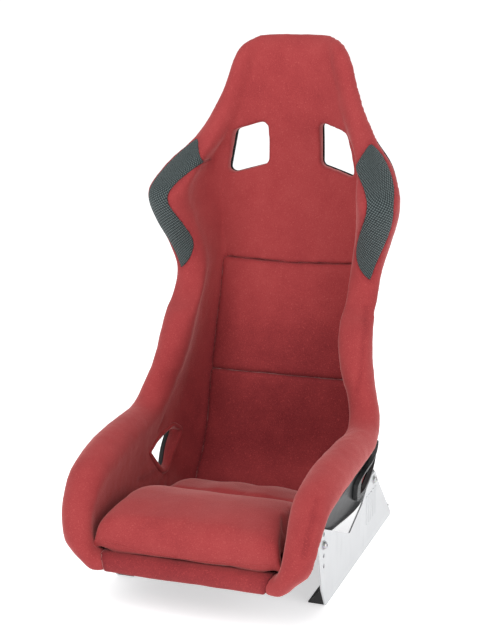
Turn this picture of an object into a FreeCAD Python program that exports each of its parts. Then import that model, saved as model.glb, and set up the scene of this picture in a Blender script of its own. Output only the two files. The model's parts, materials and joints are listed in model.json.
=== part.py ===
import FreeCAD, Part
import math
import os
from collections import namedtuple

Vector = FreeCAD.Vector

# A fixed-back racing bucket seat on two side brackets, in millimetres. X points to the right as seen from
# the front, Y to the back and Z up. The floor is Z 0, and Y 0 is midway between the floor bolts.

# Shell
shell_thickness = 3.5
rim_overhang = 9.0
rim_wrap_angle = 25.0
roll_split_angle = 60.0
wall_angle_most = 80.0
least_bulge = 0.05

# Upholstery
fit_gap = 0.8
pad_gap = 2.0
trim_gap = 0.3
mesh_depth = 6.0
seam_drop = 7.0
seam_round = 16.0

# Shoulder harness slots, each a tapered window, as x and z of its corners
slot_inner_bottom = (55.0, 728.0)
slot_outer_bottom = (135.0, 707.0)
slot_outer_top = (118.0, 797.0)
slot_inner_top = (54.0, 816.0)
slot_corner_radius = 10.0
slot_trim_wall = 1.6
slot_trim_depth = 5.0
slot_trim_lip = 5.0
slot_trim_lip_thickness = 1.5

# Mesh inserts on the shoulders, as x and z of the outer edge, the inner edge and the upper tip
mesh_tip = (177.0, 785.0)
mesh_outer = [(203.0, 764.0), (226.0, 737.0), (243.0, 706.0), (247.0, 678.0), (240.0, 638.0), (225.0, 602.0)]
mesh_foot = (196.0, 531.0)
mesh_inner = [(176.0, 552.0), (168.0, 580.0), (175.0, 610.0), (190.0, 643.0), (201.0, 682.0), (184.0, 713.0)]
mesh_corner = (156.0, 740.0)

# Lap belt openings through the hip bolsters, as y and z of the corners
lap_corners = [(-86.0, 198.0), (-34.0, 142.0), (-6.0, 142.0), (56.0, 200.0), (28.0, 217.0)]
lap_corner_radius = 9.0
lap_guide_width = 14.0
lap_guide_depth = 8.0
lap_guide_gap = 0.9

# Crotch belt slot in the pan
crotch_y = -150.0
crotch_length = 90.0
crotch_width = 24.0
crotch_trim_wall = 2.0
crotch_trim_lip = 5.0
crotch_trim_lip_thickness = 1.5

# Side brackets, as y and z of the plate's corners from the front foot round over the top
bracket_outer_x = 206.5
bracket_thickness = 3.0
bracket_corners = [(-232.0, 0.0), (-257.0, 42.0), (-278.0, 128.0), (-277.0, 146.0), (-250.0, 154.0),
                   (-78.0, 79.0), (8.0, 105.0), (44.0, 128.0), (74.0, 140.0), (106.0, 140.0),
                   (128.0, 112.0), (232.0, 8.0), (232.0, 0.0)]
bracket_corner_radius = 5.0
rib_count = 5
rib_pitch = 16.0
rib_first_y = 42.0
rib_low_z = 50.0
rib_high_z = 108.0
rib_width = 7.0
rib_height = 1.6
rail_width = 31.0
rail_thickness = 3.0
rail_leg = 24.0
rail_gusset_height = 36.0
rail_rear_gusset_height = 11.0
rail_half_length = 229.0
floor_hole_y = 170.0
floor_hole_diameter = 9.0

# Side fixings
side_front = (-245.0, 122.0)
side_rear = (95.0, 126.0)
height_hole_pitch = 20.0
height_holes_above = 1
height_holes_below = 2
bolt_diameter = 8.0
bolt_hole_diameter = 8.6
bolt_reach = 9.0
head_diameter = 14.0
head_height = 4.5
head_flat_radius = 3.5
head_shoulder_share = 0.72
head_shoulder_radius = 5.9
key_width = 5.0
key_depth = 2.6
washer_diameter = 18.0
washer_thickness = 1.6
boss_diameter = 38.0

# Thigh cushion, its side profile on the centre line as y and z, and its ends
thigh_half_width = 170.0
thigh_end_round = 44.0
thigh_back_low = (-149.0, 101.5)
thigh_front_low = (-376.0, 124.5)
thigh_front = (-404.0, 152.0)
thigh_front_high = (-388.0, 180.0)
thigh_crest = (-300.0, 192.0)
thigh_back_high = (-149.0, 150.0)
thigh_front_draw = 22.0

# Rear cushion
rear_half_width = 160.0
rear_end_round = 26.0
rear_front_low = (-146.0, 101.5)
rear_mid_low = (-40.0, 88.5)
rear_back_low = (50.0, 80.5)
rear_back_high = (56.0, 94.0)
rear_mid_high = (-40.0, 131.0)
rear_front_high = (-146.0, 150.0)
rear_end_share = 0.4

# How full a cushion's end is at its last sections, as shares of the way into the rounding
cushion_end_shares = (0.0, 0.35, 0.62, 0.82, 0.94, 0.985)

# How far the cutting prisms reach past what they cut
slot_near_y = 120.0
slot_far_y = 300.0
lap_near_x = 140.0
lap_far_x = 260.0
crotch_low_z = 40.0
crotch_high_z = 125.0
mesh_near_y = 0.0
mesh_far_y = 200.0
boss_start_x = 150.0
cut_overshoot = 1.0

# The most of a side that one rounded corner takes up, and how round the ends of the crotch slot are
corner_side_share = 0.45
crotch_round_share = 0.9

# The longest step between sections that a loft goes through
section_spacing = 26.0
end_steps = (9.0,)

# The sections of the bucket, from the front hem over the pan and up the back to the head. Each lies
# in a plane that holds the X direction. base is the shell's inside on the centre line, rim is the
# centre of the edge roll, and the last five sizes are heights above the base or half widths.
Section = namedtuple("Section", "name base_y base_z rim_y rim_z rim_x roll leave_angle "
                                "crease_x crease_n foam base_x dish corner")
sections = [
    Section("hem", -359.4, 101.0, -382.0, 92.0, 165.0, 22.0, 100.0, 148.0, 44.0, 44.0, 132.0, 0.5, 12.0),
    Section("lip", -360.0, 105.0, -388.0, 108.0, 182.0, 25.0, 128.0, 154.0, 40.0, 42.0, 138.0, 0.5, 15.0),
    Section("lip_top", -358.6, 108.5, -390.0, 130.0, 200.0, 27.0, 170.0, 166.0, 16.0, 18.0, 144.0, 0.5, 22.0),
    Section("nose", -354.6, 111.6, -378.0, 180.0, 209.0, 30.0, 185.0, 175.0, 9.0, 9.0, 149.0, 0.5, 36.0),
    Section("knee", -330.0, 108.0, -334.0, 226.0, 211.0, 34.0, 188.0, 178.0, 8.0, 8.0, 150.0, 0.5, 44.0),
    Section("thigh", -240.0, 101.0, -244.0, 246.0, 215.0, 36.0, 190.0, 178.0, 8.0, 8.0, 150.0, 0.5, 45.0),
    Section("mid_thigh", -120.0, 87.0, -142.0, 254.0, 219.0, 34.0, 192.0, 177.0, 8.0, 8.0, 150.0, 0.5, 45.0),
    Section("seat", 0.0, 72.0, -72.0, 259.0, 222.0, 31.0, 194.0, 167.0, 8.0, 8.0, 150.0, 0.5, 45.0),
    Section("pan_end", 56.0, 70.5, -48.0, 266.0, 221.0, 30.0, 195.0, 165.0, 8.0, 8.0, 150.0, 0.5, 45.0),
    Section("hip", 90.0, 81.0, -32.0, 274.0, 219.0, 30.0, 195.0, 162.0, 34.0, 34.0, 150.0, 0.5, 45.0),
    Section("hip_bend", 124.0, 115.0, -15.0, 289.0, 216.0, 30.0, 196.0, 159.0, 42.0, 44.0, 150.0, 0.5, 45.0),
    Section("low_back", 144.0, 172.0, -4.0, 307.0, 211.0, 30.0, 197.0, 156.0, 40.0, 46.0, 148.0, 0.5, 45.0),
    Section("lower_panel", 157.0, 245.0, 5.0, 329.0, 204.0, 30.0, 198.0, 153.0, 36.0, 47.0, 146.0, 0.5, 44.0),
    Section("lower_seam", 168.0, 303.0, 11.0, 347.0, 197.0, 31.0, 198.0, 151.0, 34.0, 46.0, 144.0, 0.5, 42.0),
    Section("lumbar", 186.0, 402.0, 27.0, 403.0, 185.0, 33.0, 198.0, 148.0, 27.0, 42.0, 141.0, 0.5, 40.0),
    Section("waist", 202.0, 482.0, 54.0, 456.0, 180.0, 33.0, 197.0, 145.0, 23.0, 36.0, 138.0, 1.0, 36.0),
    Section("upper_seam", 214.0, 542.0, 90.0, 492.0, 179.0, 31.0, 194.0, 145.0, 22.0, 33.0, 137.0, 2.0, 30.0),
    Section("rib_cage", 227.0, 598.0, 111.0, 538.0, 181.0, 31.0, 190.0, 146.0, 36.0, 31.0, 137.0, 10.0, 28.0),
    Section("chest", 240.0, 654.0, 108.0, 590.0, 193.0, 35.0, 188.0, 146.0, 54.0, 30.0, 138.0, 22.0, 28.0),
    Section("armpit", 250.0, 704.0, 88.0, 644.0, 208.0, 40.0, 187.0, 148.0, 70.0, 30.0, 139.0, 35.0, 30.0),
    Section("shoulder", 254.0, 744.0, 76.0, 692.0, 212.0, 42.0, 184.0, 152.0, 80.0, 31.0, 139.0, 44.0, 30.0),
    Section("collar", 255.0, 782.0, 122.0, 742.0, 193.0, 36.0, 174.0, 148.0, 82.0, 34.0, 132.0, 44.0, 24.0),
    Section("yoke", 253.0, 818.0, 160.0, 788.0, 162.0, 25.0, 146.0, 124.0, 76.0, 38.0, 118.0, 36.0, 20.0),
    Section("neck", 250.0, 856.0, 182.0, 838.0, 139.0, 19.0, 124.0, 104.0, 62.0, 37.0, 102.0, 24.0, 16.0),
    Section("head_low", 249.0, 896.0, 196.0, 884.0, 121.0, 17.0, 114.0, 92.0, 52.0, 36.0, 92.0, 16.0, 14.0),
    Section("head", 250.0, 932.0, 204.0, 926.0, 108.0, 17.0, 108.0, 82.0, 47.0, 35.0, 84.0, 11.0, 13.0),
    Section("head_high", 251.0, 958.0, 209.0, 955.0, 99.0, 16.0, 106.0, 76.0, 42.0, 33.0, 76.0, 8.0, 12.0),
    Section("crown", 254.0, 975.0, 219.0, 973.0, 86.0, 12.0, 104.0, 66.0, 34.0, 28.0, 66.0, 5.0, 9.0),
    Section("top", 252.0, 985.5, 231.0, 985.0, 70.0, 6.0, 100.0, 56.0, 20.0, 18.0, 54.0, 3.0, 6.0),
]


def step_length(row, after):
    """How far apart two sections are, as the longer of the base's and the rim's step."""
    base = math.hypot(after.base_y - row.base_y, after.base_z - row.base_z)
    rim = math.hypot(after.rim_y - row.rim_y, after.rim_z - row.rim_z)
    return max(base, rim)


def slope_at(index, size):
    """The slope of one size along the bucket, from its neighbours on both sides."""
    low = max(index - 1, 0)
    high = min(index + 1, len(sections) - 1)
    return (sections[high][size] - sections[low][size]) / (stations[high] - stations[low])


def blended(index, share):
    """A section between two of the rows, each size on a smooth curve through its column."""
    gap = stations[index + 1] - stations[index]
    sizes = [sections[index].name]
    for size in range(1, len(Section._fields)):
        start = sections[index][size]
        end = sections[index + 1][size]
        start_slope = slope_at(index, size) * gap
        end_slope = slope_at(index + 1, size) * gap
        from_start = (2 * share ** 3 - 3 * share ** 2 + 1) * start
        from_start += (share ** 3 - 2 * share ** 2 + share) * start_slope
        from_end = (3 * share ** 2 - 2 * share ** 3) * end + (share ** 3 - share ** 2) * end_slope
        sizes.append(from_start + from_end)
    return Section(*sizes)


stations = [0.0]
for row, after in zip(sections, sections[1:]):
    stations.append(stations[-1] + step_length(row, after))


def between(low, high):
    """The sections from one name to another, with more between, and closest together at both ends."""
    names = [row.name for row in sections]
    first = names.index(low)
    last = names.index(high) - 1
    rows = []
    for index in range(first, last + 1):
        length = stations[index + 1] - stations[index]
        steps = math.ceil(length / section_spacing)
        shares = [step / steps for step in range(1, steps)]
        if index == first:
            shares += [step / length for step in end_steps]
        if index == last:
            shares += [1 - step / length for step in end_steps]
        rows.append(sections[index])
        rows += [blended(index, share) for share in sorted(shares)]
    return rows + [sections[last + 1]]


def direction(row):
    """Unit step from the base to the rim, as its y and z."""
    dy = row.rim_y - row.base_y
    dz = row.rim_z - row.base_z
    length = math.hypot(dy, dz)
    return dy / length, dz / length


def rim_height(row):
    return math.hypot(row.rim_y - row.base_y, row.rim_z - row.base_z)


def place(row, point):
    """A point of a section, x and height above the base, in space."""
    dy, dz = direction(row)
    return Vector(point[0], row.base_y + point[1] * dy, row.base_z + point[1] * dz)


def polar(centre, radius, degrees):
    angle = math.radians(degrees)
    return centre[0] + radius * math.cos(angle), centre[1] + radius * math.sin(angle)


def arc(centre, radius, start, end):
    """An arc by its angles in degrees, as start, middle and end."""
    middle = (start + end) / 2
    return polar(centre, radius, start), polar(centre, radius, middle), polar(centre, radius, end)


def tangent_arc(start, heading, end):
    """The arc that leaves start at a heading in degrees and reaches end."""
    dx = end[0] - start[0]
    dn = end[1] - start[1]
    chord = math.hypot(dx, dn)
    swing = math.radians(heading) - math.atan2(dn, dx)
    swing = math.atan2(math.sin(swing), math.cos(swing))
    bulge = chord / 2 * math.tan(swing / 2)
    if abs(bulge) < least_bulge:
        bulge = math.copysign(least_bulge, bulge)
    middle = ((start[0] + end[0]) / 2 - bulge * dn / chord, (start[1] + end[1]) / 2 + bulge * dx / chord)
    return start, middle, end


def mirrored(pieces):
    """The same pieces on the other side of the centre line, in reverse order."""
    flipped = []
    for piece in reversed(pieces):
        flipped.append(tuple((-x, n) for x, n in reversed(piece)))
    return flipped


def backwards(pieces):
    return [tuple(reversed(piece)) for piece in reversed(pieces)]


def wire(row, pieces):
    """A closed wire in the section's plane, from lines of two points and arcs of three."""
    edges = []
    for piece in pieces:
        points = [place(row, point) for point in piece]
        if len(points) == 3:
            edges.append(Part.Arc(points[0], points[1], points[2]).toShape())
        else:
            edges.append(Part.makeLine(points[0], points[1]))
    return Part.Wire(edges)


def loft(rows, outline):
    """A solid through one closed outline in each section."""
    return Part.makeLoft([wire(row, outline(row)) for row in rows], True, False)


def rim_step(row):
    return row.roll * math.sin(math.radians(rim_wrap_angle))


def shell_line(row, offset):
    """The right half of the shell from the centre line to the rim, moved outwards by offset."""
    tilt = 2 * math.degrees(math.atan2(row.dish, row.base_x))
    base_radius = row.base_x / math.sin(math.radians(tilt))
    base_end = (row.base_x, row.dish)
    rim = (row.rim_x + row.roll - rim_overhang, rim_height(row) - rim_step(row))
    chord = math.degrees(math.atan2(rim[1] - base_end[1], rim[0] - base_end[0]))
    lean = min(wall_angle_most, 2 * chord - tilt)
    corner_centre = polar(base_end, row.corner, tilt + 90)
    base = arc((0, base_radius), base_radius + offset, -90, tilt - 90)
    corner = arc(corner_centre, row.corner + offset, tilt - 90, lean - 90)
    wall_start = polar(corner_centre, row.corner, lean - 90)
    wall = tangent_arc(wall_start, lean, rim)
    end_heading = 2 * math.degrees(math.atan2(rim[1] - wall_start[1], rim[0] - wall_start[0])) - lean
    middle_heading = (lean + end_heading) / 2
    wall_top = polar(rim, offset, end_heading - 90)
    wall_middle = polar(wall[1], offset, middle_heading - 90)
    return [base, corner, (corner[2], wall_middle, wall_top)]


def shell_outline(row):
    inner = shell_line(row, 0)
    outer = shell_line(row, shell_thickness)
    right = outer + [(outer[-1][-1], inner[-1][-1])]
    left = mirrored(right)
    return right + backwards(inner) + backwards(mirrored(inner)) + left


def envelope_outline(offset):
    """The whole bucket closed straight across at the rim, grown outwards by offset."""
    def outline(row):
        line = shell_line(row, offset)
        end = line[-1][-1]
        return line + [(end, (-end[0], end[1]))] + mirrored(line)
    return outline


def roll_pieces(row, inset):
    """The edge roll, from its outer hem over the top to where it leaves for the crease."""
    centre = (row.rim_x, rim_height(row))
    radius = row.roll - inset
    outer = arc(centre, radius, -rim_wrap_angle, roll_split_angle)
    inner = arc(centre, radius, roll_split_angle, row.leave_angle)
    crease = (row.crease_x + fit_gap / 2 + inset, row.crease_n + fit_gap)
    flank = tangent_arc(inner[2], row.leave_angle + 90, crease)
    return [outer, inner, flank]


def bolster_outline(inset):
    def outline(row):
        line = shell_line(row, -fit_gap)
        roll = roll_pieces(row, inset)
        base_end = line[1][0]
        rim = line[-1][-1]
        hem = roll[0][0]
        return roll + [(roll[-1][-1], base_end)] + line[1:] + [(rim, hem)]
    return outline


def panel_outline(foam_cut):
    """The centre panel between the creases, with its surface lowered by foam_cut."""
    def outline(row):
        base = shell_line(row, -pad_gap)[0]
        crown = (0.0, row.foam - foam_cut)
        crease = (row.crease_x - fit_gap, row.crease_n - foam_cut)
        foot = (base[2][0] - 2 * fit_gap, base[2][1])
        top = backwards([tangent_arc(crown, 0, crease)])
        right = [(base[0], base[1], foot), (foot, crease)] + top
        return right + mirrored(right)
    return outline


def head_outline(row):
    """The full width pad of the head, edge roll to edge roll."""
    line = shell_line(row, -pad_gap)
    roll = roll_pieces(row, 0)
    crown = (0.0, row.foam)
    top = backwards([tangent_arc(crown, 0, roll[-1][-1])])
    right = line + [(line[-1][-1], roll[0][0])] + roll + top
    return right + mirrored(right)


def panel(low, high, sewn_low, sewn_high):
    """A back panel between two sections, rounded down to the seam where it is sewn."""
    rows = between(low, high)
    wires = []
    for row in rows:
        cut = 0.0
        if sewn_low:
            cut += seam_cut(row, rows[0])
        if sewn_high:
            cut += seam_cut(row, rows[-1])
        wires.append(wire(row, panel_outline(cut)(row)))
    return Part.makeLoft(wires, True, False)


def seam_cut(row, seam):
    """How far a seam draws the foam in at a section near it."""
    away = math.hypot(row.base_y - seam.base_y, row.base_z - seam.base_z) / seam_round
    return seam_drop * (1 - math.sqrt(1 - max(0.0, 1 - away) ** 2))


def rounded_face(corners, radius, put):
    """A face of a polygon with rounded corners, each flat point put in space by put."""
    edges = []
    starts = []
    ends = []
    count = len(corners)
    for index, corner in enumerate(corners):
        before = corners[index - 1]
        after = corners[(index + 1) % count]
        into = unit(before, corner)
        out = unit(corner, after)
        turn = math.acos(max(-1.0, min(1.0, into[0] * out[0] + into[1] * out[1])))
        most = min(math.dist(before, corner), math.dist(corner, after)) * corner_side_share
        reach = min(radius * math.tan(turn / 2), most)
        starts.append((corner[0] - into[0] * reach, corner[1] - into[1] * reach))
        ends.append((corner[0] + out[0] * reach, corner[1] + out[1] * reach))
        middle = ((starts[-1][0] + ends[-1][0]) / 2, (starts[-1][1] + ends[-1][1]) / 2)
        chord = unit(starts[-1], ends[-1])
        side = math.copysign(1.0, into[0] * out[1] - into[1] * out[0])
        lift = math.dist(starts[-1], ends[-1]) / 2 * math.tan(turn / 4) * side
        peak = (middle[0] + chord[1] * lift, middle[1] - chord[0] * lift)
        edges.append(Part.Arc(put(starts[-1]), put(peak), put(ends[-1])).toShape())
    sides = []
    for index in range(count):
        sides.append(edges[index])
        sides.append(Part.makeLine(put(ends[index]), put(starts[(index + 1) % count])))
    return Part.Face(Part.Wire(sides))


def unit(start, end):
    length = math.dist(start, end)
    return (end[0] - start[0]) / length, (end[1] - start[1]) / length


def grown(corners, distance):
    """A polygon with every side moved out by a distance, its corners listed either way round."""
    count = len(corners)
    area = sum(corners[i - 1][0] * corners[i][1] - corners[i][0] * corners[i - 1][1] for i in range(count))
    side = math.copysign(distance, area)
    moved = []
    for index, corner in enumerate(corners):
        into = unit(corners[index - 1], corner)
        out = unit(corner, corners[(index + 1) % count])
        bisector = (into[1] + out[1], -into[0] - out[0])
        length = math.hypot(bisector[0], bisector[1])
        half_cosine = length / 2
        step = side / half_cosine / length
        moved.append((corner[0] + bisector[0] * step, corner[1] + bisector[1] * step))
    return moved


def along_y(corners, radius, low, high):
    """A prism through the back, from corners in x and z."""
    face = rounded_face(corners, radius, lambda point: Vector(point[0], low, point[1]))
    return face.extrude(Vector(0, high - low, 0))


def along_x(corners, radius, low, high):
    """A prism through the sides, from corners in y and z."""
    face = rounded_face(corners, radius, lambda point: Vector(low, point[0], point[1]))
    return face.extrude(Vector(high - low, 0, 0))


def along_z(corners, radius, low, high):
    face = rounded_face(corners, radius, lambda point: Vector(point[0], point[1], low))
    return face.extrude(Vector(0, 0, high - low))


def envelope(offset):
    """The space inside the shell, closed across the rim and grown outwards by offset."""
    return loft(between("hem", "head_high"), envelope_outline(offset))


def other_side(shape):
    return shape.mirror(Vector(0, 0, 0), Vector(1, 0, 0))


def slot_corners():
    return [slot_inner_bottom, slot_outer_bottom, slot_outer_top, slot_inner_top]


def slot_prism(growth):
    return along_y(grown(slot_corners(), growth), slot_corner_radius + growth, slot_near_y, slot_far_y)


def lap_prism(growth):
    return along_x(grown(lap_corners, growth), lap_corner_radius + growth, lap_near_x, lap_far_x)


def crotch_prism(growth):
    half_x = crotch_length / 2 + growth
    half_y = crotch_width / 2 + growth
    corners = [(-half_x, crotch_y - half_y), (half_x, crotch_y - half_y),
               (half_x, crotch_y + half_y), (-half_x, crotch_y + half_y)]
    return along_z(corners, half_y * crotch_round_share, crotch_low_z, crotch_high_z)


def seat_shell():
    """The moulded shell with its belt openings."""
    shell = loft(between("hem", "head_high"), shell_outline)
    for opening in [slot_prism(0), lap_prism(0)]:
        shell = shell.cut(opening).cut(other_side(opening))
    for y, z in fixings():
        bore = side_cylinder(bolt_hole_diameter / 2, y, z, boss_start_x, lap_far_x)
        shell = shell.cut(bore).cut(other_side(bore))
    return shell.cut(crotch_prism(0))


def bolster():
    """The right side bolster with its lap belt opening, still whole at the shoulder."""
    return loft(between("hem", "yoke"), bolster_outline(0)).cut(lap_prism(0))


def mesh_skin(whole, inset):
    """The skin of the bolster inside the insert's outline, drawn in all round by inset."""
    ring = grown([mesh_tip] + mesh_outer + [mesh_foot] + mesh_inner + [mesh_corner], -inset)
    points = [Vector(x, mesh_near_y, z) for x, z in ring]
    foot = len(mesh_outer) + 1
    outer = Part.BSplineCurve()
    outer.interpolate(points[:foot + 1])
    inner = Part.BSplineCurve()
    inner.interpolate(points[foot:])
    top = Part.makeLine(points[-1], points[0])
    face = Part.Face(Part.Wire([outer.toShape(), inner.toShape(), top]))
    prism = face.extrude(Vector(0, mesh_far_y - mesh_near_y, 0))
    core = loft(between("waist", "yoke"), bolster_outline(mesh_depth - inset))
    skin = whole.common(prism).cut(core)
    return max(skin.Solids, key=lambda solid: solid.Volume)


def slotted(pad):
    """A pad with both harness slots cut through it."""
    return pad.cut(slot_prism(0)).cut(other_side(slot_prism(0)))


def slot_trim():
    """A moulded edging in a harness slot, with a lip on the back of the shell."""
    lip_start = shell_thickness + trim_gap
    inside = envelope(-slot_trim_depth)
    outside = envelope(lip_start + slot_trim_lip_thickness)
    shell_side = envelope(lip_start)
    window = slot_prism(-trim_gap - slot_trim_wall)
    liner = slot_prism(-trim_gap).cut(window).common(outside).cut(inside)
    lip = slot_prism(slot_trim_lip).cut(window).common(outside).cut(shell_side)
    return liner.fuse(lip).removeSplitter()


def lap_guide():
    """The moulded guide round a lap belt opening on the outside of the shell."""
    outside = envelope(shell_thickness + lap_guide_gap + lap_guide_depth)
    shell_side = envelope(shell_thickness + lap_guide_gap)
    ring = lap_prism(lap_guide_width).cut(lap_prism(0))
    return ring.common(outside).cut(shell_side)


def crotch_trim():
    """The edging of the crotch belt slot, with a lip under the pan."""
    lip_start = shell_thickness + trim_gap
    outside = envelope(lip_start + crotch_trim_lip_thickness)
    shell_side = envelope(lip_start)
    inside = envelope(0)
    window = crotch_prism(-trim_gap - crotch_trim_wall)
    liner = crotch_prism(-trim_gap).cut(window).common(outside).cut(inside)
    lip = crotch_prism(crotch_trim_lip).cut(window).common(outside).cut(shell_side)
    return liner.fuse(lip).removeSplitter()


def pill_loft(stations_x, profile):
    """A cushion through side profiles, each a closed wire at its own x."""
    return Part.makeLoft([profile(x) for x in stations_x], True, False)


def end_scale(x, half_width, end_round):
    """How much of its full height a cushion has at x, one in the middle and little at the end."""
    past = max(0.0, abs(x) - (half_width - end_round)) / end_round
    return math.sqrt(max(0.0, 1 - past ** 2))


def end_stations(half_width, end_round):
    """The x of the profiles, closer together towards the rounded ends."""
    flat = half_width - end_round
    right = [flat / 2] + [flat + end_round * share for share in cushion_end_shares]
    return [-x for x in reversed(right)] + [0.0] + right


def thigh_profile(x):
    scale = end_scale(x, thigh_half_width, thigh_end_round)
    shift = thigh_front_draw * (1 - scale)

    def put(point):
        share = (point[0] - thigh_front[0]) / (thigh_back_low[0] - thigh_front[0])
        middle = thigh_front[1] + share * ((thigh_back_low[1] + thigh_back_high[1]) / 2 - thigh_front[1])
        return Vector(x, point[0] + shift * (1 - share), middle + (point[1] - middle) * scale)

    return Part.Wire([Part.makeLine(put(thigh_back_low), put(thigh_front_low)),
                      Part.Arc(put(thigh_front_low), put(thigh_front), put(thigh_front_high)).toShape(),
                      Part.Arc(put(thigh_front_high), put(thigh_crest), put(thigh_back_high)).toShape(),
                      Part.makeLine(put(thigh_back_high), put(thigh_back_low))])


def rear_profile(x):
    scale = end_scale(x, rear_half_width, rear_end_round)

    def put(point):
        share = (point[0] - rear_front_low[0]) / (rear_back_low[0] - rear_front_low[0])
        low = rear_front_low[1] + share * (rear_back_low[1] - rear_front_low[1])
        fullness = rear_end_share + (1 - rear_end_share) * scale
        return Vector(x, point[0], low + (point[1] - low) * fullness)

    return Part.Wire([Part.Arc(put(rear_front_low), put(rear_mid_low), put(rear_back_low)).toShape(),
                      Part.makeLine(put(rear_back_low), put(rear_back_high)),
                      Part.Arc(put(rear_back_high), put(rear_mid_high), put(rear_front_high)).toShape(),
                      Part.makeLine(put(rear_front_high), put(rear_front_low))])


def thigh_cushion():
    return pill_loft(end_stations(thigh_half_width, thigh_end_round), thigh_profile)


def rear_cushion():
    return pill_loft(end_stations(rear_half_width, rear_end_round), rear_profile)


def side_bracket():
    """The right bracket plate with its height holes and pressed ribs."""
    inner_x = bracket_outer_x - bracket_thickness
    plate = along_x(bracket_corners, bracket_corner_radius, inner_x, bracket_outer_x)
    for index in range(rib_count):
        plate = plate.fuse(rib(rib_first_y + index * rib_pitch))
    holes = []
    for step in range(-height_holes_below, height_holes_above + 1):
        holes.append((side_front[0], side_front[1] + step * height_hole_pitch))
    holes.append(side_rear)
    for y, z in holes:
        low = inner_x - cut_overshoot
        plate = plate.cut(side_cylinder(bolt_hole_diameter / 2, y, z, low, bracket_outer_x + cut_overshoot))
    return plate


def rib(middle_y):
    """A pressed rib, a half round bar on the outer face with round ends."""
    sagitta_radius = ((rib_width / 2) ** 2 + rib_height ** 2) / (2 * rib_height)
    centre_x = bracket_outer_x + rib_height - sagitta_radius
    bar = Part.makeCylinder(sagitta_radius, rib_high_z - rib_low_z, Vector(centre_x, middle_y, rib_low_z))
    keep = Part.makeBox(rib_height, rib_width, rib_high_z - rib_low_z,
                        Vector(bracket_outer_x, middle_y - rib_width / 2, rib_low_z))
    return bar.common(keep)


def side_cylinder(radius, y, z, low, high):
    return Part.makeCylinder(radius, high - low, Vector(low, y, z), Vector(1, 0, 0))


def floor_rail():
    """The right foot, an angle with a gusset at each end and two floor holes."""
    plate_x = bracket_outer_x - bracket_thickness
    low_x = plate_x - rail_width
    profile = [Vector(low_x, -rail_half_length, 0), Vector(plate_x, -rail_half_length, 0),
               Vector(plate_x, -rail_half_length, rail_leg),
               Vector(plate_x - rail_thickness, -rail_half_length, rail_leg),
               Vector(plate_x - rail_thickness, -rail_half_length, rail_thickness),
               Vector(low_x, -rail_half_length, rail_thickness)]
    rail = Part.Face(Part.makePolygon(profile + profile[:1])).extrude(Vector(0, 2 * rail_half_length, 0))
    for end_y in (-rail_half_length, rail_half_length - rail_thickness):
        height = rail_gusset_height if end_y < 0 else rail_rear_gusset_height
        corners = [Vector(low_x, end_y, 0), Vector(plate_x, end_y, 0), Vector(plate_x, end_y, height)]
        gusset = Part.Face(Part.makePolygon(corners + corners[:1])).extrude(Vector(0, rail_thickness, 0))
        rail = rail.fuse(gusset)
    hole_x = (low_x + plate_x - rail_thickness) / 2
    for hole_y in (-floor_hole_y, floor_hole_y):
        start = Vector(hole_x, hole_y, -cut_overshoot)
        rail = rail.cut(Part.makeCylinder(floor_hole_diameter / 2, rail_leg, start))
    return rail.removeSplitter()


def fixings():
    return [side_front, side_rear]


def bolt(y, z):
    """A button head screw with a hexagon socket, driven from outside through washer and plate."""
    seat_x = bracket_outer_x + washer_thickness
    tip_x = bracket_outer_x - bracket_thickness - bolt_reach
    shank = side_cylinder(bolt_diameter / 2, y, z, tip_x, seat_x)
    foot = Vector(seat_x, y, z)
    edge = Vector(seat_x, y, z + head_diameter / 2)
    shoulder = Vector(seat_x + head_height * head_shoulder_share, y, z + head_shoulder_radius)
    crown = Vector(seat_x + head_height, y, z + head_flat_radius)
    top = Vector(seat_x + head_height, y, z)
    edges = [Part.makeLine(foot, edge), Part.Arc(edge, shoulder, crown).toShape(),
             Part.makeLine(crown, top), Part.makeLine(top, foot)]
    head = Part.Face(Part.Wire(edges)).revolve(Vector(0, y, z), Vector(1, 0, 0), 360)
    corners = []
    for index in range(6):
        angle = math.radians(60 * index)
        reach = key_width / 2 / math.cos(math.radians(30))
        corners.append(Vector(seat_x + head_height - key_depth, y + reach * math.cos(angle),
                              z + reach * math.sin(angle)))
    socket = Part.Face(Part.makePolygon(corners + corners[:1])).extrude(Vector(head_height, 0, 0))
    return head.cut(socket).fuse(shank).removeSplitter()


def washer(y, z):
    disc = side_cylinder(washer_diameter / 2, y, z, bracket_outer_x, bracket_outer_x + washer_thickness)
    return disc.cut(side_cylinder(bolt_hole_diameter / 2, y, z, boss_start_x, lap_far_x))


def mount_boss(y, z):
    """A threaded boss bonded to the shell, flat where the bracket bolts on."""
    face_x = bracket_outer_x - bracket_thickness
    boss = side_cylinder(boss_diameter / 2, y, z, boss_start_x, face_x)
    boss = boss.cut(envelope(shell_thickness + trim_gap))
    low = face_x - bolt_reach - cut_overshoot
    return boss.cut(side_cylinder(bolt_diameter / 2, y, z, low, face_x + cut_overshoot))


def both_sides(shapes):
    """One group of separate solids on both sides."""
    return Part.makeCompound(shapes + [other_side(shape) for shape in shapes])


def check(name, shape):
    print(name, shape.isValid(), round(shape.Volume / 1000), "cm3", len(shape.Solids), len(shape.Faces))


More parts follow.
